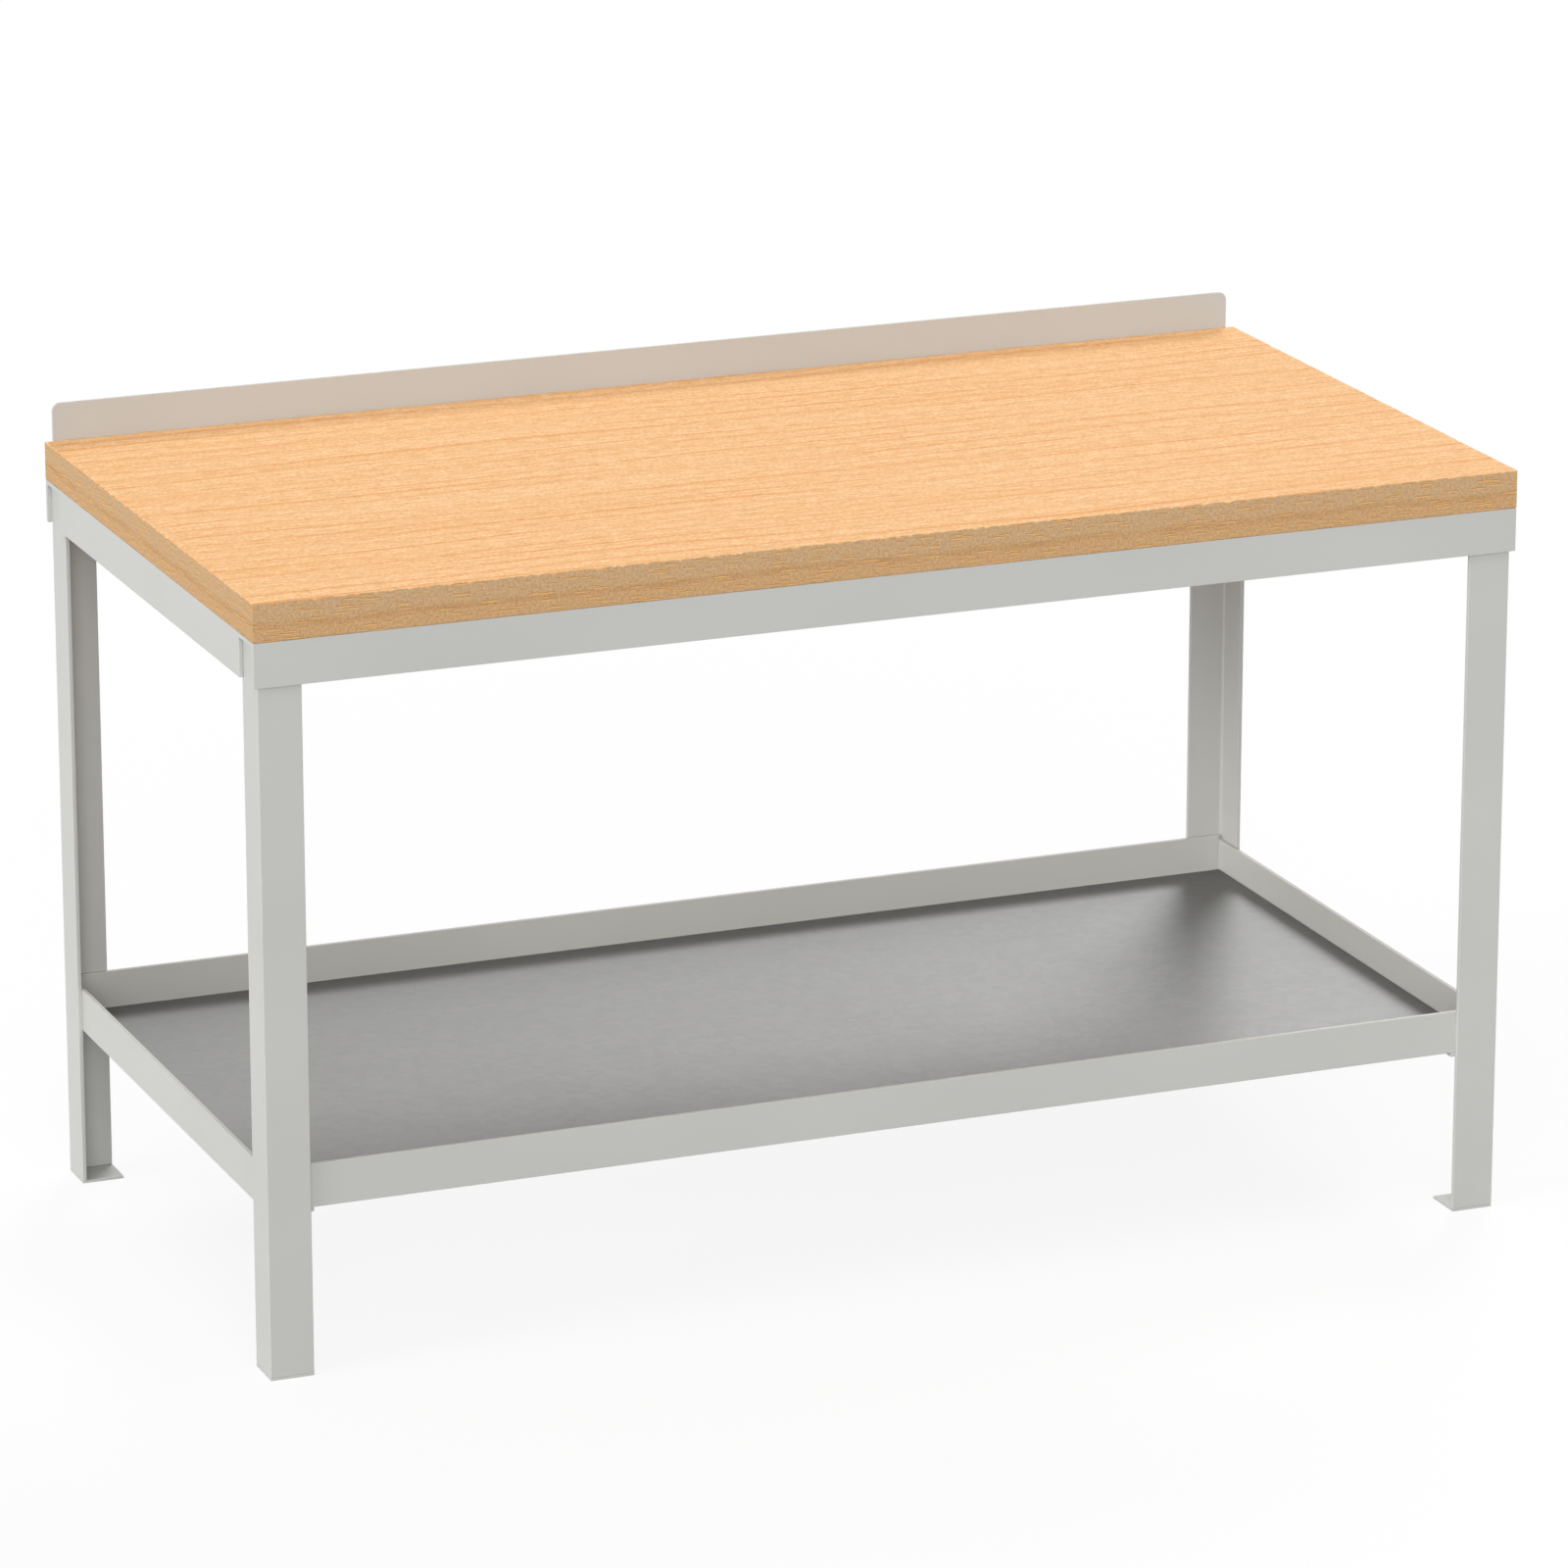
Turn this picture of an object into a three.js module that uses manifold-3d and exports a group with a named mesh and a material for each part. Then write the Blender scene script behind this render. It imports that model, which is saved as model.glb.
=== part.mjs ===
import * as THREE from 'three';
import { mergeVertices } from 'three/addons/utils/BufferGeometryUtils.js';
import Module from 'manifold-3d';

// Assembly table: a beech board on a welded angle-iron frame, with a tray shelf and a rear upstand.
// Millimetres. X runs along the table, Y from front to rear, Z up.
// The origin is on the floor under the middle of the outline.

// Board
const boardLength = 1500;
const boardDepth = 750;
const boardThickness = 44;
const boardTopHeight = 882;

// Rolled angle, the same section for every rail and leg
const angleWidth = 50;
const angleThickness = 5;
const rootRadius = 3;
const rootSegments = 2;

// Feet and shelf
const footThickness = 3;
const shelfHeight = 188;
const panelThickness = 2;
const panelClearance = 0.5;
const bearerWidth = 50;
const bearerCount = 2;

// Upstand behind the board
const upstandEndInset = 10;
const upstandRise = 44;
const upstandThickness = 3;
const upstandCornerRadius = 10;
const cornerSegments = 4;

// Board screws, driven up through the top rails
const boardScrewLength = 35;
const boardScrewEndInset = 150;
const railScrewCount = 4;
const sideScrewCount = 1;

// Upstand screws, driven forwards into the rear edge of the board
const upstandScrewLength = 30;
const upstandScrewEndInset = 90;
const upstandScrewCount = 5;

// One screw pattern for both
const shankRadius = 2.5;
const headRadius = 5.5;
const headHeight = 3;
const headCrown = 1.2;
const tipLength = 5;
const socketRadius = 1.8;
const socketDepth = 1.8;
const roundSides = 16;
const socketSides = 6;

// Clearances
const shankClearance = 0.5;
const pilotClearance = 0.15;
const pilotTipClearance = 1;
const copeClearance = 0.5;
const cutOverrun = 1;

// Levels and faces worked out from the sizes above, in the frame's own middle
const frameTop = boardTopHeight - boardThickness;
const halfLength = boardLength / 2;
const halfDepth = boardDepth / 2;
const legX = halfLength - angleThickness;
const legY = halfDepth - angleThickness;
const legTop = frameTop - angleThickness;
const sideRailEndY = halfDepth - angleWidth;
const shelfX = legX - angleThickness;
const shelfY = legY - angleThickness;
const shelfCrossX = shelfX - angleThickness;
const shelfCrossHeight = shelfHeight + angleThickness;
const panelBottom = shelfCrossHeight + angleThickness;
const panelHalfLength = shelfCrossX - panelClearance;
const panelHalfDepth = shelfY - angleThickness - rootRadius - panelClearance;
const bearerHalfLength = shelfY - angleWidth;
const flangeMiddle = (angleWidth + angleThickness) / 2;
const rearOverhang = upstandThickness + headHeight;
const copeSize = rootRadius + copeClearance;
const upstandLength = boardLength - 2 * upstandEndInset;

const wasm = await Module();
wasm.setup();

const axisX = new THREE.Vector3(1, 0, 0);
const axisY = new THREE.Vector3(0, 1, 0);
const up = new THREE.Vector3(0, 0, 1);
const down = new THREE.Vector3(0, 0, -1);

const beech = { color: 0xf0c48c, roughness: 0.55, metalness: 0 };
const greyPaint = { color: 0xc9cac4, roughness: 0.35, metalness: 0 };
const zincSheet = { color: 0xa6a7a6, roughness: 0.4, metalness: 0.7 };
const zincScrew = { color: 0xb9bbbd, roughness: 0.3, metalness: 0.9 };

// A closed solid that can be cut, from a three.js geometry
function solidFrom(geometry) {
  const bare = geometry.index ? geometry.toNonIndexed() : geometry.clone();
  bare.deleteAttribute('normal');
  bare.deleteAttribute('uv');
  const merged = mergeVertices(bare, 1e-4);
  const vertProperties = new Float32Array(merged.attributes.position.array);
  const triVerts = new Uint32Array(merged.index.array);
  return new wasm.Manifold(new wasm.Mesh({ numProp: 3, vertProperties, triVerts }));
}

function geometryFrom(solid) {
  const cut = solid.getMesh();
  const geometry = new THREE.BufferGeometry();
  geometry.setAttribute('position', new THREE.BufferAttribute(cut.vertProperties, 3));
  geometry.setIndex(new THREE.BufferAttribute(cut.triVerts, 1));
  const flat = geometry.toNonIndexed();
  flat.computeVertexNormals();
  return flat;
}

function addPiece(group, name, solid, look, position) {
  const mesh = new THREE.Mesh(geometryFrom(solid), new THREE.MeshStandardMaterial(look));
  mesh.name = name;
  mesh.position.copy(position);
  group.add(mesh);
  return mesh;
}

// Extrudes a profile that is symmetric about its diagonal, so its sides may swap to keep the right hand
function extrudeAlong(profile, length, along, sideA, sideB, curveSegments) {
  const geometry = new THREE.ExtrudeGeometry(profile, { depth: length, bevelEnabled: false, curveSegments });
  const rightHanded = new THREE.Vector3().crossVectors(sideA, sideB).dot(along) > 0;
  const [first, second] = rightHanded ? [sideA, sideB] : [sideB, sideA];
  return geometry.applyMatrix4(new THREE.Matrix4().makeBasis(first, second, along));
}

// A length of rolled angle from one end of its heel: sharp heel and toes, rounded root
function angleBar(length, along, flangeA, flangeB) {
  const rootCentre = angleThickness + rootRadius;
  const profile = new THREE.Shape();
  profile.moveTo(0, 0);
  profile.lineTo(angleWidth, 0);
  profile.lineTo(angleWidth, angleThickness);
  profile.lineTo(rootCentre, angleThickness);
  profile.absarc(rootCentre, rootCentre, rootRadius, -Math.PI / 2, Math.PI, true);
  profile.lineTo(angleThickness, angleWidth);
  profile.lineTo(0, angleWidth);
  profile.closePath();
  return solidFrom(extrudeAlong(profile, length, along, flangeA, flangeB, rootSegments));
}

// The wedge that is ground off a bar's end, where it seats over the rounded root of another bar
function copeWedge(length, along, sideA, sideB) {
  const profile = new THREE.Shape();
  profile.moveTo(-cutOverrun, -cutOverrun);
  profile.lineTo(copeSize + cutOverrun, -cutOverrun);
  profile.lineTo(-cutOverrun, copeSize + cutOverrun);
  profile.closePath();
  return solidFrom(extrudeAlong(profile, length, along, sideA, sideB, 1));
}

function at(x, y, z) {
  return new THREE.Vector3(x, y, z);
}

function moved(solid, position) {
  return solid.translate([position.x, position.y, position.z]);
}

// Evenly spaced places over a span about zero, or the middle alone
function spread(count, span) {
  if (count === 1) return [0];
  return Array.from({ length: count }, (_, i) => span * (i / (count - 1) - 0.5));
}

function roundBar(radius, length, alongY) {
  const geometry = new THREE.CylinderGeometry(radius, radius, length, roundSides);
  if (!alongY) geometry.rotateX(Math.PI / 2);
  return solidFrom(geometry);
}

// A button-head screw on +Z from the seat of its head, with a hexagon socket and a pointed tip
function screwSolid(length) {
  const outline = [
    [0, -headHeight],
    [headRadius - headCrown, -headHeight],
    [headRadius, headCrown - headHeight],
    [headRadius, 0],
    [shankRadius, 0],
    [shankRadius, length - tipLength],
    [0, length],
  ].map(([radius, height]) => new THREE.Vector2(radius, height));
  const body = new THREE.LatheGeometry(outline, roundSides).rotateX(Math.PI / 2);
  const socketLength = socketDepth + cutOverrun;
  const socket = new THREE.CylinderGeometry(socketRadius, socketRadius, socketLength, socketSides);
  socket.rotateX(Math.PI / 2);
  socket.translate(0, 0, (socketDepth - cutOverrun) / 2 - headHeight);
  return solidFrom(body).subtract(solidFrom(socket));
}

// Through holes and pilot holes share the screw's own axis and length
const throughRadius = shankRadius + shankClearance;
const pilotRadius = shankRadius + pilotClearance;
const railScrewX = spread(railScrewCount, boardLength - 2 * boardScrewEndInset);
const sideScrewY = spread(sideScrewCount, boardDepth - 2 * boardScrewEndInset);
const upstandScrewX = spread(upstandScrewCount, upstandLength - 2 * upstandScrewEndInset);
const screwRowY = halfDepth - flangeMiddle;
const screwRowX = halfLength - flangeMiddle;
const upstandScrewZ = frameTop + boardThickness / 2;

const ends = [['front', -1], ['rear', 1]];
const sides = [['left', -1], ['right', 1]];

// Every board screw: its name and the middle of its head's seat, under a rail's flange
const boardScrews = [];
for (const [end, endSign] of ends) {
  for (const [i, x] of railScrewX.entries()) {
    boardScrews.push([`worktop_screw_${end}_${i + 1}`, at(x, endSign * screwRowY, legTop)]);
  }
}
for (const [side, sideSign] of sides) {
  for (const [i, y] of sideScrewY.entries()) {
    boardScrews.push([`worktop_screw_${side}_${i + 1}`, at(sideSign * screwRowX, y, legTop)]);
  }
}

function buildBoard(group) {
  const box = new THREE.BoxGeometry(boardLength, boardDepth, boardThickness);
  let board = solidFrom(box.translate(0, 0, boardThickness / 2));
  const upReach = boardScrewLength - angleThickness + pilotTipClearance;
  for (const [, seat] of boardScrews) {
    const pilot = roundBar(pilotRadius, upReach + cutOverrun, false);
    board = board.subtract(moved(pilot, at(seat.x, seat.y, (upReach - cutOverrun) / 2)));
  }
  const forwardReach = upstandScrewLength - upstandThickness + pilotTipClearance;
  for (const x of upstandScrewX) {
    const pilot = roundBar(pilotRadius, forwardReach + cutOverrun, true);
    const middleY = halfDepth - (forwardReach - cutOverrun) / 2;
    board = board.subtract(moved(pilot, at(x, middleY, upstandScrewZ - frameTop)));
  }
  addPiece(group, 'worktop', board, beech, at(0, 0, frameTop));
}

// A flat strip against the board's rear edge, with rounded top corners and a hole for each screw
function buildUpstand(group) {
  const halfWidth = upstandLength / 2;
  const height = boardThickness + upstandRise;
  const radius = upstandCornerRadius;
  const outline = new THREE.Shape();
  outline.moveTo(-halfWidth, 0);
  outline.lineTo(halfWidth, 0);
  outline.lineTo(halfWidth, height - radius);
  outline.absarc(halfWidth - radius, height - radius, radius, 0, Math.PI / 2, false);
  outline.lineTo(radius - halfWidth, height);
  outline.absarc(radius - halfWidth, height - radius, radius, Math.PI / 2, Math.PI, false);
  outline.closePath();
  const settings = { depth: upstandThickness, bevelEnabled: false, curveSegments: cornerSegments };
  const strip = new THREE.ExtrudeGeometry(outline, settings).rotateX(Math.PI / 2);
  let plate = solidFrom(strip.translate(0, upstandThickness, 0));
  for (const x of upstandScrewX) {
    const hole = roundBar(throughRadius, upstandThickness + 2 * cutOverrun, true);
    plate = plate.subtract(moved(hole, at(x, upstandThickness / 2, upstandScrewZ - frameTop)));
  }
  addPiece(group, 'rear_upstand', plate, greyPaint, at(0, halfDepth, frameTop));
}

function flangeHole(x, y) {
  const hole = roundBar(throughRadius, angleThickness + 2 * cutOverrun, false);
  return moved(hole, at(x, y, -angleThickness / 2));
}

// Top frame: front and rear rails run full length, side rails fit between the toes of their flanges
function buildTopFrame(group) {
  for (const [end, endSign] of ends) {
    const inward = axisY.clone().multiplyScalar(-endSign);
    let rail = moved(angleBar(boardLength, axisX, inward, down), at(-halfLength, 0, 0));
    for (const x of railScrewX) {
      rail = rail.subtract(flangeHole(x, -endSign * flangeMiddle));
    }
    addPiece(group, `top_${end}_rail`, rail, greyPaint, at(0, endSign * halfDepth, frameTop));
  }
  for (const [side, sideSign] of sides) {
    const inward = axisX.clone().multiplyScalar(-sideSign);
    let rail = moved(angleBar(2 * sideRailEndY, axisY, inward, down), at(0, -sideRailEndY, 0));
    for (const y of sideScrewY) {
      rail = rail.subtract(flangeHole(-sideSign * flangeMiddle, y));
    }
    addPiece(group, `top_${side}_rail`, rail, greyPaint, at(sideSign * halfLength, 0, frameTop));
  }
}

// A leg from its heel at the foot, its top coped over the roots of the end rail and of the side rail it laps
function legSolid(inX, inY) {
  const length = legTop - footThickness;
  const top = at(0, 0, length);
  const endCope = copeWedge(angleWidth + 2 * cutOverrun, inX, inY, down);
  const endCopeAt = top.clone().addScaledVector(inX, -cutOverrun);
  const lap = angleThickness + copeClearance;
  const sideCope = copeWedge(lap + cutOverrun, inY, inX, down);
  const sideCopeAt = top.clone().addScaledVector(inY, angleWidth - lap);
  const bar = angleBar(length, up, inX, inY);
  return bar.subtract(moved(endCope, endCopeAt)).subtract(moved(sideCope, sideCopeAt));
}

// Legs stand inside the top rails, each on a square plate
function buildLegs(group) {
  for (const [end, endSign] of ends) {
    for (const [side, sideSign] of sides) {
      const inX = axisX.clone().multiplyScalar(-sideSign);
      const inY = axisY.clone().multiplyScalar(-endSign);
      const heel = at(sideSign * legX, endSign * legY, footThickness);
      addPiece(group, `leg_${end}_${side}`, legSolid(inX, inY), greyPaint, heel);

      const plate = new THREE.BoxGeometry(angleWidth, angleWidth, footThickness);
      const plateAt = heel.clone().addScaledVector(inX, angleWidth / 2).addScaledVector(inY, angleWidth / 2);
      plateAt.z = footThickness / 2;
      addPiece(group, `foot_plate_${end}_${side}`, solidFrom(plate), greyPaint, plateAt);
    }
  }
}

// Shelf frame, lips up: side rails between the legs, front and rear rails on the side rails' flanges
function buildShelfFrame(group) {
  const copeLength = angleWidth + 2 * cutOverrun;
  for (const [side, sideSign] of sides) {
    const inX = axisX.clone().multiplyScalar(-sideSign);
    let rail = moved(angleBar(2 * shelfY, axisY, inX, up), at(0, -shelfY, 0));
    for (const [, endSign] of ends) {
      const inY = axisY.clone().multiplyScalar(-endSign);
      const legCope = copeWedge(copeLength, up, inX, inY);
      rail = rail.subtract(moved(legCope, at(0, endSign * shelfY, -cutOverrun)));
    }
    addPiece(group, `shelf_${side}_rail`, rail, greyPaint, at(sideSign * shelfX, 0, shelfHeight));
  }
  for (const [end, endSign] of ends) {
    const inY = axisY.clone().multiplyScalar(-endSign);
    let rail = moved(angleBar(2 * shelfCrossX, axisX, inY, up), at(-shelfCrossX, 0, 0));
    for (const [, sideSign] of sides) {
      const inX = axisX.clone().multiplyScalar(-sideSign);
      const sideCope = copeWedge(copeLength, inY, inX, up);
      rail = rail.subtract(moved(sideCope, at(sideSign * shelfCrossX, endSign * cutOverrun, 0)));
    }
    addPiece(group, `shelf_${end}_rail`, rail, greyPaint, at(0, endSign * shelfY, shelfCrossHeight));
  }
}

// The sheet lies on the front and rear flanges and on flat bars that join their toes
function buildShelfPanel(group) {
  const sheet = new THREE.BoxGeometry(2 * panelHalfLength, 2 * panelHalfDepth, panelThickness);
  const sheetAt = at(0, 0, panelBottom + panelThickness / 2);
  addPiece(group, 'shelf_panel', solidFrom(sheet), zincSheet, sheetAt);
  const bearerPitch = (2 * panelHalfLength) / (bearerCount + 1);
  for (const [i, x] of spread(bearerCount, bearerPitch * (bearerCount - 1)).entries()) {
    const bar = new THREE.BoxGeometry(bearerWidth, 2 * bearerHalfLength, angleThickness);
    const barAt = at(x, 0, panelBottom - angleThickness / 2);
    addPiece(group, `shelf_bearer_${i + 1}`, solidFrom(bar), greyPaint, barAt);
  }
}

function buildScrews(group) {
  const upward = screwSolid(boardScrewLength);
  for (const [name, seat] of boardScrews) {
    addPiece(group, name, upward, zincScrew, seat);
  }
  const forward = screwSolid(upstandScrewLength);
  for (const [i, x] of upstandScrewX.entries()) {
    const seat = at(x, halfDepth + upstandThickness, upstandScrewZ);
    addPiece(group, `upstand_screw_${i + 1}`, forward, zincScrew, seat).rotation.x = Math.PI / 2;
  }
}

const frame = new THREE.Group();
frame.position.y = -rearOverhang / 2;
buildBoard(frame);
buildUpstand(frame);
buildTopFrame(frame);
buildLegs(frame);
buildShelfFrame(frame);
buildShelfPanel(frame);
buildScrews(frame);

const assemblyTable = new THREE.Group();
assemblyTable.add(frame);
export default assemblyTable;
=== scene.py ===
import math
import bmesh
import bpy
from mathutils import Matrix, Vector, noise


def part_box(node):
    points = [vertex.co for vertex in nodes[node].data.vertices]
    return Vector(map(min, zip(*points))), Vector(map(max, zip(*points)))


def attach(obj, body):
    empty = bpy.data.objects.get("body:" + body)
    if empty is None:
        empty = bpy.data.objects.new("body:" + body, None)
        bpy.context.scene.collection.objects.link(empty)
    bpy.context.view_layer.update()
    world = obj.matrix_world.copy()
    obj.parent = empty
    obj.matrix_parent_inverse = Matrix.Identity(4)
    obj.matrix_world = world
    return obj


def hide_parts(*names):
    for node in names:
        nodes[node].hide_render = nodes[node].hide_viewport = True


# Assembly table: beech board on a welded angle-iron frame, with a zinc sheet in the shelf tray.
# Metres, in the same frame as the CAD.

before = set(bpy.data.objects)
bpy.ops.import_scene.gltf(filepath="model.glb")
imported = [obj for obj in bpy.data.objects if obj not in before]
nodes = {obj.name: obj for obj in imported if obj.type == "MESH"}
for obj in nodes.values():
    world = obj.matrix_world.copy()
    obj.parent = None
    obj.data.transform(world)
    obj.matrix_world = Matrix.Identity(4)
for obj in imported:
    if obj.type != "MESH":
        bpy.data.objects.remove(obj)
scene = bpy.context.scene
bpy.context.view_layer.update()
print("frame:", len(nodes), "pieces from the CAD")


# Small helpers for building node trees

allOfNoise = (0.2, 0.8)          # between which the values of a noise lie
mostOfNoise = (0.3, 0.7)
midOfNoise = (0.35, 0.65)


def makeNode(tree, kind, inputs=None, **settings):
    made = tree.nodes.new(kind)
    for name, value in settings.items():
        setattr(made, name, value)
    for name, value in (inputs or {}).items():
        feed(tree, value, made.inputs[name])
    return made


def feed(tree, value, socket):
    if isinstance(value, bpy.types.NodeSocket):
        tree.links.new(value, socket)
    else:
        socket.default_value = value


def calc(tree, operation, first, second=0.0, third=None):
    made = makeNode(tree, "ShaderNodeMath", operation=operation)
    feed(tree, first, made.inputs[0])
    feed(tree, second, made.inputs[1])
    if third is not None:
        feed(tree, third, made.inputs[2])
    return made.outputs[0]


def remap(tree, value, low, high, outLow=0.0, outHigh=1.0, smooth=False):
    kind = "SMOOTHSTEP" if smooth else "LINEAR"
    made = makeNode(tree, "ShaderNodeMapRange", interpolation_type=kind)
    for name, given in (("Value", value), ("From Min", low), ("From Max", high),
                        ("To Min", outLow), ("To Max", outHigh)):
        feed(tree, given, made.inputs[name])
    return made.outputs["Result"]


def mixColours(tree, factor, first, second, blend="MIX"):
    made = makeNode(tree, "ShaderNodeMix", data_type="RGBA", blend_type=blend)
    feed(tree, factor, made.inputs[0])
    feed(tree, first, made.inputs[6])
    feed(tree, second, made.inputs[7])
    return made.outputs[2]


def mixShaders(tree, factor, first, second):
    made = makeNode(tree, "ShaderNodeMixShader")
    feed(tree, factor, made.inputs[0])
    feed(tree, first, made.inputs[1])
    feed(tree, second, made.inputs[2])
    return made.outputs[0]


def combineVectors(tree, operation, first, second):
    made = makeNode(tree, "ShaderNodeVectorMath", operation=operation)
    feed(tree, first, made.inputs[0])
    feed(tree, second, made.inputs[1])
    return made


def noiseAt(tree, place, stretch, detail=2.0, roughness=0.5):
    # the stretch is in noise cells to the metre along each axis
    stretched = combineVectors(tree, "MULTIPLY", place, stretch).outputs[0]
    made = makeNode(tree, "ShaderNodeTexNoise", {"Vector": stretched, "Scale": 1.0, "Detail": detail,
                                                 "Roughness": roughness})
    return made.outputs["Fac"]


def objectPlace(tree):
    return makeNode(tree, "ShaderNodeTexCoord").outputs["Object"]


def paintColour(red, green, blue):
    # a screen colour in steps of 255, turned into linear light
    def linear(value):
        value = value / 255.0
        return value / 12.92 if value <= 0.04045 else ((value + 0.055) / 1.055) ** 2.4
    return (linear(red), linear(green), linear(blue), 1.0)


def newGroup(name, inputs, outputs):
    tree = bpy.data.node_groups.new(name, "ShaderNodeTree")
    for label, kind, value in inputs:
        socket = tree.interface.new_socket(name=label, in_out="INPUT", socket_type=kind)
        socket.default_value = value
    for label, kind in outputs:
        tree.interface.new_socket(name=label, in_out="OUTPUT", socket_type=kind)
    return tree, tree.nodes.new("NodeGroupInput"), tree.nodes.new("NodeGroupOutput")


def useGroup(tree, group, values):
    made = tree.nodes.new("ShaderNodeGroup")
    made.node_tree = group
    for name, value in values.items():
        feed(tree, value, made.inputs[name])
    return made


def newMaterial(name, shaderValues):
    made = bpy.data.materials.new(name)
    made.use_nodes = True
    tree = made.node_tree
    shader = tree.nodes["Principled BSDF"]
    for label, value in shaderValues.items():
        shader.inputs[label].default_value = value
    return made, tree, shader


def addBump(tree, shader, height, strength, distance):
    bump = makeNode(tree, "ShaderNodeBump", {"Height": height, "Strength": strength, "Distance": distance})
    feed(tree, bump.outputs[0], shader.inputs["Normal"])


def newObject(name, mesh):
    data = bpy.data.meshes.new(name)
    mesh.to_mesh(data)
    mesh.free()
    made = bpy.data.objects.new(name, data)
    scene.collection.objects.link(made)
    return made


# Shared effects

wearShape = {
    "samples": 4,
    "agree": (0.995, 0.86),      # how far the true and the rounded normal agree, flat to worn
    "spots": (0.35, 0.62),
}


def makeEdgeWear(shape):
    # 1 along the arrises, broken up by noise, 0 on the flats
    tree, given, result = newGroup("edgeWear", [
        ("Radius", "NodeSocketFloat", 0.002),
        ("Breakup", "NodeSocketFloat", 120.0),
        ("Amount", "NodeSocketFloat", 1.0),
    ], [("Mask", "NodeSocketFloat")])
    flat = makeNode(tree, "ShaderNodeNewGeometry").outputs["Normal"]
    rounded = makeNode(tree, "ShaderNodeBevel", {"Radius": given.outputs["Radius"]}, samples=shape["samples"])
    agree = combineVectors(tree, "DOT_PRODUCT", flat, rounded.outputs[0]).outputs["Value"]
    edge = remap(tree, agree, *shape["agree"], smooth=True)
    spots = noiseAt(tree, objectPlace(tree), given.outputs["Breakup"], detail=3.0)
    broken = remap(tree, spots, *shape["spots"])
    mask = calc(tree, "MULTIPLY", edge, broken)
    feed(tree, calc(tree, "MULTIPLY", mask, given.outputs["Amount"]), result.inputs["Mask"])
    return tree


def makeFinish():
    # soft tone patches and a fine skin, for any sprayed, rolled or plated surface
    tree, given, result = newGroup("finishVariation", [
        ("Patch Stretch", "NodeSocketVector", (4.0, 4.0, 4.0)),
        ("Skin Stretch", "NodeSocketVector", (700.0, 700.0, 700.0)),
    ], [("Patches", "NodeSocketFloat"), ("Skin", "NodeSocketFloat")])
    place = objectPlace(tree)
    patches = noiseAt(tree, place, given.outputs["Patch Stretch"], detail=3.0, roughness=0.55)
    skin = noiseAt(tree, place, given.outputs["Skin Stretch"])
    feed(tree, patches, result.inputs["Patches"])
    feed(tree, skin, result.inputs["Skin"])
    return tree


def makeFibres():
    # long streaks of wood fibre or rolled metal, drawn out along one direction
    tree, given, result = newGroup("drawnFibres", [
        ("Place", "NodeSocketVector", (0.0, 0.0, 0.0)),
        ("Coarse", "NodeSocketVector", (1.0, 60.0, 1.0)),
        ("Fine", "NodeSocketVector", (10.0, 500.0, 1.0)),
    ], [("Coarse", "NodeSocketFloat"), ("Fine", "NodeSocketFloat")])
    place = given.outputs["Place"]
    coarse = noiseAt(tree, place, given.outputs["Coarse"], detail=3.0, roughness=0.55)
    fine = noiseAt(tree, place, given.outputs["Fine"], detail=3.0, roughness=0.6)
    feed(tree, coarse, result.inputs["Coarse"])
    feed(tree, fine, result.inputs["Fine"])
    return tree


edgeWear = makeEdgeWear(wearShape)
finishVariation = makeFinish()
drawnFibres = makeFibres()
print("shared effects: edge wear, finish variation, drawn fibres")


def wearMask(tree, radius, breakup, amount):
    worn = useGroup(tree, edgeWear, {"Radius": radius, "Breakup": breakup, "Amount": amount})
    return worn.outputs["Mask"]


def finishOf(tree, look):
    return useGroup(tree, finishVariation, {"Patch Stretch": look["patchStretch"],
                                            "Skin Stretch": look["skinStretch"]})


def fibresOf(tree, place, look):
    return useGroup(tree, drawnFibres, {"Place": place, "Coarse": look["coarseStretch"],
                                        "Fine": look["fineStretch"]})


# Beech: growth rings, fibres and pores along the board on top, two laminations with dashes on the edges.

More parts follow.
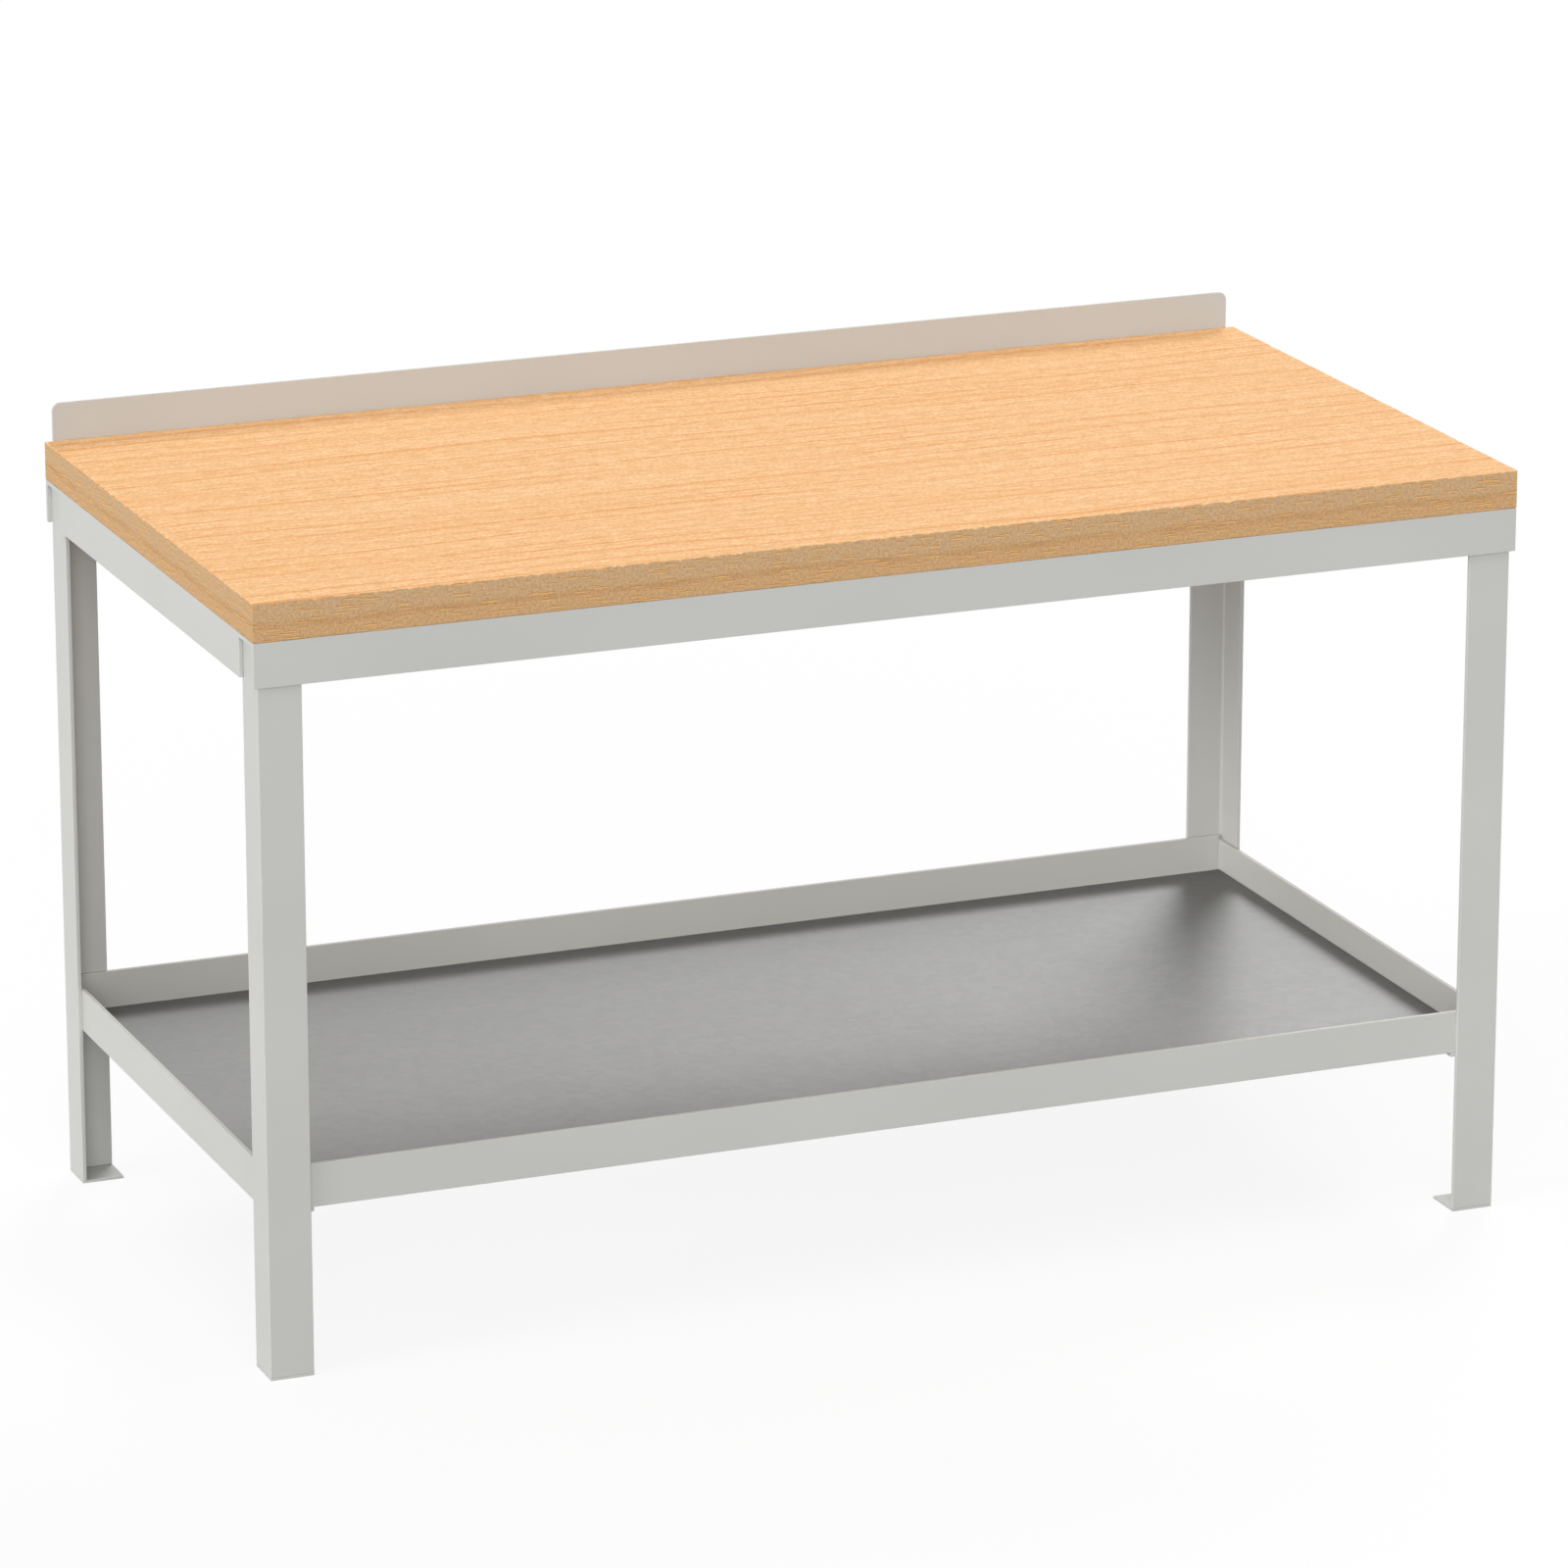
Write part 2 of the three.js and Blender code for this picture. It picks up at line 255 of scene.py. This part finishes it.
beechLook = {
    "gloss": 0.03,
    "roughness": (0.44, 0.58),
    "flatRange": (0.55, 0.8),    # how level a face is, from edge to top
    "wear": (0.0016, 160.0, 0.5),
    "bump": (0.5, 0.0004),
    "ringRelief": -0.5,
    "dashRelief": 1.6,

    # top
    "topLight": paintColour(239, 196, 148),
    "topDark": paintColour(232, 184, 131),
    "ringColour": paintColour(222, 146, 76),
    "swayStretch": (1.1, 5.0, 0.0),
    "swayReach": 0.085,
    "rippleStretch": (7.0, 60.0, 0.0),
    "rippleReach": 0.004,
    "ringSpacing": 0.028,
    "ringRise": (0.76, 0.92),
    "ringFall": (1.0, 0.96),
    "softPower": 3.0,
    "softShare": 0.25,
    "fineSpacing": 0.01204,
    "fineRise": (0.55, 0.85),
    "fineFall": (1.0, 0.9),
    "fineShare": 0.45,
    "pickStretch": (1.6, 38.0, 0.0),
    "pickRange": (0.36, 0.62),
    "pickShare": (0.12, 0.82),
    "bandShare": (0.15, 0.85),
    "coarseStretch": (0.8, 42.0, 0.0),
    "fineStretch": (46.0, 120.0, 0.0),
    "fibreLight": (1.07, 1.11, 1.18, 1.0),
    "fibreDark": (0.92, 0.83, 0.69, 1.0),
    "poreStretch": (210.0, 290.0, 0.0),
    "poreLight": (1.06, 1.16, 1.29, 1.0),
    "poreDark": (0.94, 0.84, 0.72, 1.0),

    # edges, where the second axis runs up
    "edgeUpper": paintColour(198, 163, 123),
    "edgeLower": paintColour(199, 160, 116),
    "edgeChange": (-0.002, 0.007),
    "jointColour": paintColour(180, 133, 82),
    "jointStretch": (6.0, 0.0, 0.0),
    "jointHeight": (0.014, 0.023),    # above the underside
    "jointFade": (0.0058, 0.0004),
    "jointPickStretch": (16.0, 0.0, 0.0),
    "jointShare": (0.12, 0.5),
    "mottleStretch": (330.0, 330.0, 0.0),
    "mottleShare": (0.82, 1.18),
    "raggedStretch": (240.0, 0.0, 0.0),
    "raggedReach": 0.0009,
    "dashLight": paintColour(236, 186, 122),
    # painted shadow on the upper side of each dash
    "dashShadowColour": paintColour(160, 116, 68),
    "dashCell": (0.042, 0.0028),
    "dashJitter": 0.9,
    "dashSize": (0.15, 0.32),
    "dashSoft": 0.07,
    "dashBare": 0.45,            # share of the cells left bare
    "dashShare": 0.82,
    "shadeShare": 0.65,
    "shadeLift": 0.0009,
    "topRunStretch": (75.0, 0.0, 0.0),
    "topRunRange": (0.44, 0.68),
    "topRunReach": 0.0036,       # how far the top's tone runs over the arris
    "topRunSoft": 0.0003,
}


def ringBand(tree, shifted, spacing, rise, fall):
    ring = calc(tree, "FRACT", calc(tree, "DIVIDE", shifted, spacing))
    band = calc(tree, "MULTIPLY", remap(tree, ring, *rise), remap(tree, ring, *fall))
    return ring, band


def tinted(tree, tone, grain, dark, light):
    tint = mixColours(tree, remap(tree, grain, *mostOfNoise), dark, light)
    return mixColours(tree, 1.0, tone, tint, "MULTIPLY")


def beechTop(tree, place, acrossY, look):
    # growth rings cut lengthwise, soft on one side and sharp on the other
    sway = noiseAt(tree, place, look["swayStretch"])
    shifted = calc(tree, "MULTIPLY_ADD", sway, look["swayReach"], acrossY)
    ripple = noiseAt(tree, place, look["rippleStretch"])
    shifted = calc(tree, "MULTIPLY_ADD", ripple, look["rippleReach"], shifted)
    ring, ringLine = ringBand(tree, shifted, look["ringSpacing"], look["ringRise"], look["ringFall"])
    fineLine = ringBand(tree, shifted, look["fineSpacing"], look["fineRise"], look["fineFall"])[1]
    ringSoft = calc(tree, "POWER", ring, look["softPower"])
    ringShare = calc(tree, "MAXIMUM", calc(tree, "MULTIPLY", ringSoft, look["softShare"]), ringLine)
    ringShare = calc(tree, "MAXIMUM", ringShare, calc(tree, "MULTIPLY", fineLine, look["fineShare"]))
    picked = noiseAt(tree, place, look["pickStretch"], detail=1.0)
    picked = remap(tree, picked, *look["pickRange"], *look["pickShare"])
    ringShare = calc(tree, "MULTIPLY", ringShare, picked)

    # broad bands under the rings, then fibres and pores over all
    fibres = fibresOf(tree, place, look)
    fine = fibres.outputs["Fine"]
    bands = remap(tree, fibres.outputs["Coarse"], *mostOfNoise, *look["bandShare"])
    tone = mixColours(tree, bands, look["topLight"], look["topDark"])
    tone = mixColours(tree, ringShare, tone, look["ringColour"])
    tone = tinted(tree, tone, fine, look["fibreDark"], look["fibreLight"])
    pores = noiseAt(tree, place, look["poreStretch"], detail=1.0)
    tone = tinted(tree, tone, pores, look["poreDark"], look["poreLight"])
    return tone, ringLine, fine


def dashMask(tree, edgePlace, look, lift):
    # short dashes, one to a cell at most
    moved = combineVectors(tree, "ADD", edgePlace, (0.0, -lift, 0.0)).outputs[0]
    length, height = look["dashCell"]
    stretched = combineVectors(tree, "MULTIPLY", moved, (1.0 / length, 1.0 / height, 0.0)).outputs[0]
    cells = makeNode(tree, "ShaderNodeTexVoronoi",
                     {"Vector": stretched, "Scale": 1.0, "Randomness": look["dashJitter"]},
                     voronoi_dimensions="2D", feature="F1")
    chance = makeNode(tree, "ShaderNodeSeparateColor", {"Color": cells.outputs["Color"]})
    size = remap(tree, chance.outputs["Green"], 0.0, 1.0, *look["dashSize"])
    near = calc(tree, "SUBTRACT", size, cells.outputs["Distance"])
    dash = remap(tree, near, 0.0, look["dashSoft"], smooth=True)
    wanted = calc(tree, "GREATER_THAN", chance.outputs["Blue"], look["dashBare"])
    return calc(tree, "MULTIPLY", dash, wanted)


def beechEdge(tree, run, height, thickness, topTone, look):
    # two laminations with a wavy joint line between them
    edgePlace = makeNode(tree, "ShaderNodeCombineXYZ", {"X": run, "Y": height}).outputs[0]
    wander = noiseAt(tree, edgePlace, look["jointStretch"], detail=3.0, roughness=0.55)
    joint = remap(tree, wander, *allOfNoise, *look["jointHeight"])
    above = calc(tree, "SUBTRACT", height, joint)
    upper = remap(tree, above, *look["edgeChange"], smooth=True)
    tone = mixColours(tree, upper, look["edgeLower"], look["edgeUpper"])
    nearJoint = remap(tree, calc(tree, "ABSOLUTE", above), *look["jointFade"], smooth=True)
    picked = noiseAt(tree, edgePlace, look["jointPickStretch"])
    picked = remap(tree, picked, *midOfNoise, *look["jointShare"])
    tone = mixColours(tree, calc(tree, "MULTIPLY", nearJoint, picked), tone, look["jointColour"])
    mottle = noiseAt(tree, edgePlace, look["mottleStretch"], roughness=0.6)
    shading = remap(tree, mottle, *mostOfNoise, *look["mottleShare"])
    tone = mixColours(tree, 1.0, tone, shading, "MULTIPLY")

    # pale dashes, each with a painted shadow just above it as if the dash stood raised, that run on round the
    # corners
    ragged = noiseAt(tree, edgePlace, look["raggedStretch"], roughness=0.6)
    ragged = remap(tree, ragged, *allOfNoise, -look["raggedReach"], look["raggedReach"])
    lifted = calc(tree, "ADD", height, ragged)
    liftedPlace = makeNode(tree, "ShaderNodeCombineXYZ", {"X": run, "Y": lifted}).outputs[0]
    dash = dashMask(tree, liftedPlace, look, 0.0)
    shade = dashMask(tree, liftedPlace, look, look["shadeLift"])
    # the lifted copy paints a shadow above each dash
    tone = mixColours(tree, calc(tree, "MULTIPLY", shade, look["shadeShare"]), tone, look["dashShadowColour"])
    tone = mixColours(tree, calc(tree, "MULTIPLY", dash, look["dashShare"]), tone, look["dashLight"])

    # the top's tone runs over the arris and a little way down the edge, further in some places
    over = noiseAt(tree, edgePlace, look["topRunStretch"], detail=3.0, roughness=0.6)
    reach = remap(tree, over, *look["topRunRange"], 0.0, look["topRunReach"])
    below = calc(tree, "SUBTRACT", thickness, height)
    past = calc(tree, "SUBTRACT", reach, below)
    topRun = remap(tree, past, -look["topRunSoft"], look["topRunSoft"])
    tone = mixColours(tree, topRun, tone, topTone)
    return tone, dash, mottle


def makeBeech(look, low, high):
    material, tree, shader = newMaterial("beechBoard", {"Specular IOR Level": look["gloss"]})
    place = objectPlace(tree)
    parts = makeNode(tree, "ShaderNodeSeparateXYZ", {"Vector": place}).outputs
    facing = makeNode(tree, "ShaderNodeNewGeometry").outputs["Normal"]
    facingUp = makeNode(tree, "ShaderNodeSeparateXYZ", {"Vector": facing}).outputs["Z"]
    flatMask = remap(tree, calc(tree, "ABSOLUTE", facingUp), *look["flatRange"], smooth=True)

    topTone, ringLine, fine = beechTop(tree, place, parts["Y"], look)
    run = calc(tree, "SUBTRACT", parts["X"], parts["Y"])
    height = calc(tree, "SUBTRACT", parts["Z"], low.z)
    edgeTone, dash, mottle = beechEdge(tree, run, height, high.z - low.z, topTone, look)
    colour = mixColours(tree, flatMask, edgeTone, topTone)
    rubbed = wearMask(tree, *look["wear"])
    colour = mixColours(tree, rubbed, colour, look["dashLight"])
    feed(tree, colour, shader.inputs["Base Color"])
    feed(tree, remap(tree, fine, *allOfNoise, *look["roughness"]), shader.inputs["Roughness"])

    relief = makeNode(tree, "ShaderNodeMix", data_type="FLOAT")
    feed(tree, flatMask, relief.inputs[0])
    feed(tree, calc(tree, "MULTIPLY_ADD", dash, look["dashRelief"], mottle), relief.inputs[2])
    feed(tree, calc(tree, "MULTIPLY_ADD", ringLine, look["ringRelief"], fine), relief.inputs[3])
    addBump(tree, shader, relief.outputs[0], *look["bump"])
    return material


# Grey paint: a smooth semi-gloss coat with a little orange peel, thin on the arrises

paintLook = {
    "gloss": 0.35,
    "roughness": (0.32, 0.41),
    "roughRange": (0.25, 0.75),
    "coat": paintColour(193, 193, 189),
    "coatDeep": paintColour(189, 189, 185),
    "thin": paintColour(208, 208, 203),
    "patchStretch": (3.0, 3.0, 5.0),
    "skinStretch": (420.0, 420.0, 420.0),
    "wear": (0.0018, 90.0, 0.35),
    "bump": (0.06, 0.0004),
}


def makePaint(look):
    material, tree, shader = newMaterial("greyPaint", {"Specular IOR Level": look["gloss"]})
    finish = finishOf(tree, look)
    patches = finish.outputs["Patches"]
    colour = mixColours(tree, remap(tree, patches, *mostOfNoise), look["coat"], look["coatDeep"])
    colour = mixColours(tree, wearMask(tree, *look["wear"]), colour, look["thin"])
    feed(tree, colour, shader.inputs["Base Color"])
    feed(tree, remap(tree, patches, *look["roughRange"], *look["roughness"]), shader.inputs["Roughness"])
    addBump(tree, shader, finish.outputs["Skin"], *look["bump"])
    return material


# Zinc-coated sheet: satin, with faint spangle and rolling lines along its length

sheetLook = {
    "metal": 0.92,
    "roughness": (0.455, 0.485),
    "roughPatch": (-0.02, 0.02),
    "zinc": paintColour(120, 120, 119),
    "zincDeep": paintColour(114, 114, 113),
    "rubbed": paintColour(168, 168, 166),
    "spangle": 90.0,
    "spangleShare": 0.35,
    "rollingShare": 0.65,
    "coarseStretch": (1.2, 30.0, 0.0),
    "fineStretch": (14.0, 600.0, 0.0),
    "patchStretch": (5.0, 5.0, 5.0),
    "skinStretch": (300.0, 900.0, 300.0),
    "wear": (0.001, 200.0, 0.6),
    "bump": (0.012, 0.0002),
}


def makeSheet(look):
    material, tree, shader = newMaterial("zincSheet", {"Metallic": look["metal"]})
    place = objectPlace(tree)
    cells = makeNode(tree, "ShaderNodeTexVoronoi",
                     {"Vector": place, "Scale": look["spangle"], "Randomness": 1.0}, feature="F1")
    crystal = makeNode(tree, "ShaderNodeSeparateColor", {"Color": cells.outputs["Color"]}).outputs["Red"]
    fibres = fibresOf(tree, place, look)
    rolling = calc(tree, "MULTIPLY", fibres.outputs["Coarse"], look["rollingShare"])
    mixed = calc(tree, "MULTIPLY_ADD", crystal, look["spangleShare"], rolling)
    colour = mixColours(tree, mixed, look["zinc"], look["zincDeep"])
    colour = mixColours(tree, wearMask(tree, *look["wear"]), colour, look["rubbed"])
    feed(tree, colour, shader.inputs["Base Color"])
    rough = remap(tree, crystal, 0.0, 1.0, *look["roughness"])
    patches = finishOf(tree, look).outputs["Patches"]
    rough = calc(tree, "ADD", rough, remap(tree, patches, *mostOfNoise, *look["roughPatch"]))
    feed(tree, rough, shader.inputs["Roughness"])
    addBump(tree, shader, fibres.outputs["Fine"], *look["bump"])
    return material


# Zinc-plated screws

screwLook = {
    "roughness": (0.24, 0.4),
    "zinc": paintColour(200, 203, 206),
    "dull": paintColour(168, 170, 172),
    "patchStretch": (220.0, 220.0, 220.0),
    "skinStretch": (2500.0, 2500.0, 2500.0),
    "wear": (0.0006, 900.0, 0.8),
    "bump": (0.08, 0.0001),
}


def makeScrewZinc(look):
    material, tree, shader = newMaterial("zincScrew", {"Metallic": 1.0})
    finish = finishOf(tree, look)
    skin = finish.outputs["Skin"]
    dull = remap(tree, finish.outputs["Patches"], *midOfNoise)
    colour = mixColours(tree, dull, look["zinc"], look["dull"])
    colour = mixColours(tree, wearMask(tree, *look["wear"]), colour, look["zinc"])
    feed(tree, colour, shader.inputs["Base Color"])
    feed(tree, remap(tree, skin, *mostOfNoise, *look["roughness"]), shader.inputs["Roughness"])
    addBump(tree, shader, skin, *look["bump"])
    return material


boardLow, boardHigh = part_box("worktop")
beech = makeBeech(beechLook, boardLow, boardHigh)
greyPaint = makePaint(paintLook)
zincSheet = makeSheet(sheetLook)
zincScrew = makeScrewZinc(screwLook)
print("materials: beech, grey paint, zinc sheet, zinc screw")


# Board: the CAD board's faces, with arrises that the sander left slightly uneven

boardShape = {
    "step": 0.004,               # between the points along an arris
    "topArris": (0.0003, 0.0018),
    "underArris": (0.0009, 0.0017),
    "bow": 0.29,                 # where the middle of an arris lies, as a share of its width
    "middle": 0.45,
    "slowWave": 30.0,
    "slowShare": 0.5,
    "quickWave": 160.0,
    "quickShare": 0.6,
}


def arrisWidth(place, limits, offset, shape):
    narrow, wide = limits
    slow = noise.noise(Vector((place.x * shape["slowWave"], place.y * shape["slowWave"], offset)))
    quick = noise.noise(Vector((place.x * shape["quickWave"], place.y * shape["quickWave"], offset + 9)))
    share = shape["middle"] + shape["slowShare"] * slow + shape["quickShare"] * quick
    return narrow + (wide - narrow) * min(1.0, max(0.0, share))


def outline(low, high, step):
    # points round the board, each with the way inwards; a corner goes in both ways at once
    corners = [(low.x, low.y), (high.x, low.y), (high.x, high.y), (low.x, high.y)]
    inwards = [(0, 1), (-1, 0), (0, -1), (1, 0)]
    stations = []
    for side in range(4):
        start = Vector(corners[side])
        end = Vector(corners[(side + 1) % 4])
        count = round((end - start).length / step)
        inward = Vector(inwards[side])
        stations.append((start, inward + Vector(inwards[side - 1])))
        for i in range(1, count):
            stations.append((start.lerp(end, i / count), inward))
    return stations


def buildBoard(low, high, shape):
    bow = shape["bow"]
    mesh = bmesh.new()
    columns = []
    for place, inward in outline(low, high, shape["step"]):
        top = arrisWidth(place, shape["topArris"], 0.0, shape)
        under = arrisWidth(place, shape["underArris"], 5.0, shape)
        profile = [
            (under, low.z),
            (under * bow, low.z + under * bow),
            (0.0, low.z + under),
            (0.0, high.z - top),
            (top * bow, high.z - top * bow),
            (top, high.z),
        ]
        columns.append([mesh.verts.new((*(place + inward * inset), z)) for inset, z in profile])
    for i, column in enumerate(columns):
        following = columns[(i + 1) % len(columns)]
        for j in range(len(column) - 1):
            mesh.faces.new((column[j], following[j], following[j + 1], column[j + 1]))
    mesh.faces.new([column[-1] for column in columns])
    mesh.faces.new([column[0] for column in reversed(columns)])
    return newObject("beech_worktop", mesh)


board = buildBoard(boardLow, boardHigh, boardShape)
board.data.materials.append(beech)
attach(board, "root")
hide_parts("worktop")
print("board:", len(board.data.vertices), "points")


# Steel and zinc pieces: the CAD shapes, with their arrises eased by modifiers

edgeEase = {
    "bar": 0.0007,
    "plate": 0.0006,
    "sheet": 0.0004,
    "segments": 2,
    "sharpAngle": 35.0,
    "flatAngle": 0.5,
    "mergeGap": 0.00001,
}


def easeEdges(piece, width):
    weld = piece.modifiers.new("joinCorners", "WELD")
    weld.merge_threshold = edgeEase["mergeGap"]
    flat = piece.modifiers.new("joinFlats", "DECIMATE")
    flat.decimate_type = "DISSOLVE"
    flat.angle_limit = math.radians(edgeEase["flatAngle"])
    bevel = piece.modifiers.new("easeEdges", "BEVEL")
    bevel.width = width
    bevel.segments = edgeEase["segments"]
    bevel.limit_method = "ANGLE"
    bevel.angle_limit = math.radians(edgeEase["sharpAngle"])
    bevel.use_clamp_overlap = True


def dress(piece, material):
    if not piece.material_slots:
        piece.data.materials.append(material)
    for held in piece.material_slots:
        held.link = "OBJECT"
        held.material = material


for name, piece in nodes.items():
    if name == "worktop":
        continue
    if "screw" in name:
        dress(piece, zincScrew)
    elif name == "shelf_panel":
        dress(piece, zincSheet)
        easeEdges(piece, edgeEase["sheet"])
    else:
        dress(piece, greyPaint)
        plate = name.startswith(("foot", "rear_upstand", "shelf_bearer"))
        easeEdges(piece, edgeEase["plate" if plate else "bar"])
print("steel: edges eased")


# Weld beads: short rippled fillets in the inner corners, out of sight from the front

weldShape = {
    "size": 0.0034,              # along each of the two faces
    "bulge": 0.12,
    "sunk": 0.0008,              # into the steel behind both faces
    "ripple": 0.11,
    "pitch": 0.0022,
    "crescent": 0.0009,
    "step": 0.00055,
    "taper": 0.004,
    "endSize": 0.5,
    "arcPoints": 5,
    "short": 0.005,              # left bare at each end of a corner
}


def beadSection(along, length, shape):
    # one slice of a bead: away from the second face, then away from the first
    toEnd = min(along, length - along) / shape["taper"]
    ends = min(1.0, shape["endSize"] + (1.0 - shape["endSize"]) * toEnd)
    sunk = shape["sunk"]
    points = []
    for i in range(shape["arcPoints"]):
        share = i / (shape["arcPoints"] - 1)
        crown = math.sin(math.pi * share)
        turn = ((along + shape["crescent"] * crown) / shape["pitch"]) % 1.0
        swell = 1.0 - (2.0 * turn - 1.0) ** 2
        size = shape["size"] * ends * (1.0 - shape["ripple"] * (1.0 - swell))
        lift = shape["bulge"] * size * crown
        points.append((size * (1.0 - share) + lift, size * share + lift))
    return [(-sunk, -sunk), (points[0][0], -sunk)] + points + [(-sunk, points[-1][1])]


def addBead(mesh, start, end, acrossFirst, acrossSecond, shape):
    axis = end - start
    length = axis.length
    count = max(2, round(length / shape["step"]))
    rings = []
    for i in range(count + 1):
        along = length * i / count
        middle = start + axis * (i / count)
        rings.append([mesh.verts.new(middle + acrossFirst * u + acrossSecond * v)
                      for u, v in beadSection(along, length, shape)])
    for ring, following in zip(rings, rings[1:]):
        for j in range(len(ring)):
            k = (j + 1) % len(ring)
            mesh.faces.new((ring[j], ring[k], following[k], following[j]))
    mesh.faces.new(rings[0])
    mesh.faces.new(list(reversed(rings[-1])))


def finishBeads(mesh, name):
    bmesh.ops.recalc_face_normals(mesh, faces=mesh.faces[:])
    made = newObject(name, mesh)
    made.data.materials.append(greyPaint)
    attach(made, "root")


def outerFirst(low, high, lowIsOuter):
    return (low, high) if lowIsOuter else (high, low)


def buildWelds(row, side, shape):
    left = side == "left"
    front = row == "front"
    inX = Vector((1.0 if left else -1.0, 0.0, 0.0))
    inY = Vector((0.0, 1.0 if front else -1.0, 0.0))
    down = Vector((0.0, 0.0, -1.0))
    short = shape["short"]
    legLow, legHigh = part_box("leg_" + row + "_" + side)
    outerX, toeX = outerFirst(legLow.x, legHigh.x, left)
    outerY, toeY = outerFirst(legLow.y, legHigh.y, front)

    # leg to top rails, along the toes of the leg
    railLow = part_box("top_" + row + "_rail")[0]
    mesh = bmesh.new()
    low = railLow.z + short
    high = legHigh.z - short
    for corner, first, second in (((toeX, outerY), inX, inY), ((outerX, toeY), inY, inX)):
        addBead(mesh, Vector((*corner, low)), Vector((*corner, high)), first, second, shape)
    finishBeads(mesh, "top_weld_" + row + "_" + side)

    # shelf rail to side rail, and side rail to leg, both on the underside
    sideLow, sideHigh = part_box("shelf_" + side + "_rail")
    shelfLow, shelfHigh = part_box("shelf_" + row + "_rail")
    legFaceX, railToeX = outerFirst(sideLow.x, sideHigh.x, left)
    railOuterY, railToeY = outerFirst(shelfLow.y, shelfHigh.y, front)
    mesh = bmesh.new()
    for x, height, farY in ((railToeX, shelfLow.z, railToeY), (legFaceX, sideLow.z, toeY)):
        start = Vector((x, railOuterY, height)) + inY * short
        end = Vector((x, farY, height)) - inY * short
        addBead(mesh, start, end, inX, down, shape)
    finishBeads(mesh, "shelf_weld_" + row + "_" + side)


for row in ("front", "rear"):
    for side in ("left", "right"):
        buildWelds(row, side, weldShape)
print("welds: beads in the inner corners")


# Stage: a pale floor and a white backdrop, with a faint shadow under the table

stageLook = {
    "floorSize": 40.0,
    "floorColour": (0.9, 0.9, 0.9, 1.0),
    "floorRoughness": 0.9,
    "bounceColour": (0.46, 0.46, 0.46, 1.0),    # what the floor throws back at the table
    "shadowLift": 0.88,                         # how far the seen floor is lifted to white
    "white": (1.0, 1.0, 1.0, 1.0),
    "skyStrength": 0.3,
}


def seenRays(tree):
    # rays that show the stage itself, straight or in a mirror, and not those that light the table
    rays = makeNode(tree, "ShaderNodeLightPath").outputs
    mirrored = calc(tree, "MAXIMUM", rays["Is Glossy Ray"], rays["Is Transmission Ray"])
    return calc(tree, "MAXIMUM", rays["Is Camera Ray"], mirrored)


def buildFloor(look):
    mesh = bmesh.new()
    bmesh.ops.create_grid(mesh, x_segments=2, y_segments=2, size=look["floorSize"] / 2)
    made = newObject("floor", mesh)
    material, tree, shader = newMaterial("paleFloor", {"Base Color": look["floorColour"],
                                                       "Roughness": look["floorRoughness"],
                                                       "Specular IOR Level": 0.0})
    glow = makeNode(tree, "ShaderNodeEmission", {"Color": look["white"], "Strength": 1.0})
    pale = mixShaders(tree, look["shadowLift"], shader.outputs[0], glow.outputs[0])
    bounce = makeNode(tree, "ShaderNodeBsdfDiffuse", {"Color": look["bounceColour"]})
    lifted = mixShaders(tree, seenRays(tree), bounce.outputs[0], pale)
    clear = makeNode(tree, "ShaderNodeBsdfTransparent")    # seen from below
    under = makeNode(tree, "ShaderNodeNewGeometry").outputs["Backfacing"]
    sided = mixShaders(tree, under, lifted, clear.outputs[0])
    feed(tree, sided, tree.nodes["Material Output"].inputs["Surface"])
    made.data.materials.append(material)


def buildWorld(look):
    world = bpy.data.worlds.new("studio")
    scene.world = world
    world.use_nodes = True
    tree = world.node_tree
    light = tree.nodes["Background"]
    light.inputs["Color"].default_value = look["white"]
    light.inputs["Strength"].default_value = look["skyStrength"]
    backdrop = makeNode(tree, "ShaderNodeBackground", {"Color": look["white"], "Strength": 1.0})
    mixed = mixShaders(tree, seenRays(tree), light.outputs[0], backdrop.outputs[0])
    feed(tree, mixed, tree.nodes["World Output"].inputs["Surface"])


def wayTo(azimuth, elevation):
    # azimuth is turned from the front towards the left, both in degrees
    turn = math.radians(azimuth)
    rise = math.radians(elevation)
    return Vector((-math.sin(turn) * math.cos(rise), -math.cos(turn) * math.cos(rise), math.sin(rise)))


def placeFacing(made, aim, way, distance):
    scene.collection.objects.link(made)
    made.location = aim + way * distance
    made.rotation_mode = "QUATERNION"
    made.rotation_quaternion = way.to_track_quat("Z", "Y")


# Lamps, all soft

lamps = {
    "leftLamp": {"azimuth": 80.0, "elevation": 11.0, "strength": 1.76, "spread": 22.0},
    "frontLamp": {"azimuth": 15.0, "elevation": 18.0, "strength": 1.46, "spread": 38.0},
    "backLamp": {"azimuth": 216.0, "elevation": 39.0, "strength": 1.22, "spread": 20.0},
    "topLamp": {"azimuth": 45.0, "elevation": 78.0, "strength": 1.04, "spread": 60.0},
}
lampDistance = 6.0


def buildLamps(settings):
    for name, lamp in settings.items():
        data = bpy.data.lights.new(name, "SUN")
        data.energy = lamp["strength"]
        data.angle = math.radians(lamp["spread"])
        made = bpy.data.objects.new(name, data)
        placeFacing(made, Vector(), wayTo(lamp["azimuth"], lamp["elevation"]), lampDistance)


buildFloor(stageLook)
buildWorld(stageLook)
buildLamps(lamps)
print("stage: floor, world and", len(lamps), "lamps")


# Camera at the photograph's angle, worked out from the table's own edges

cameraView = {
    "azimuth": 22.13,
    "elevation": 16.81,
    "distance": 9.018,
    "aim": (0.0111, 0.0, 0.4909),
    "lens": 179.97,
    "sensor": 36.0,
    "clipEnd": 200.0,
}


def buildCamera(view):
    data = bpy.data.cameras.new("camera")
    data.sensor_width = view["sensor"]
    data.lens = view["lens"]
    data.clip_end = view["clipEnd"]
    made = bpy.data.objects.new("camera", data)
    placeFacing(made, Vector(view["aim"]), wayTo(view["azimuth"], view["elevation"]), view["distance"])
    scene.camera = made


buildCamera(cameraView)
scene.view_settings.view_transform = "Standard"
print("camera: set")
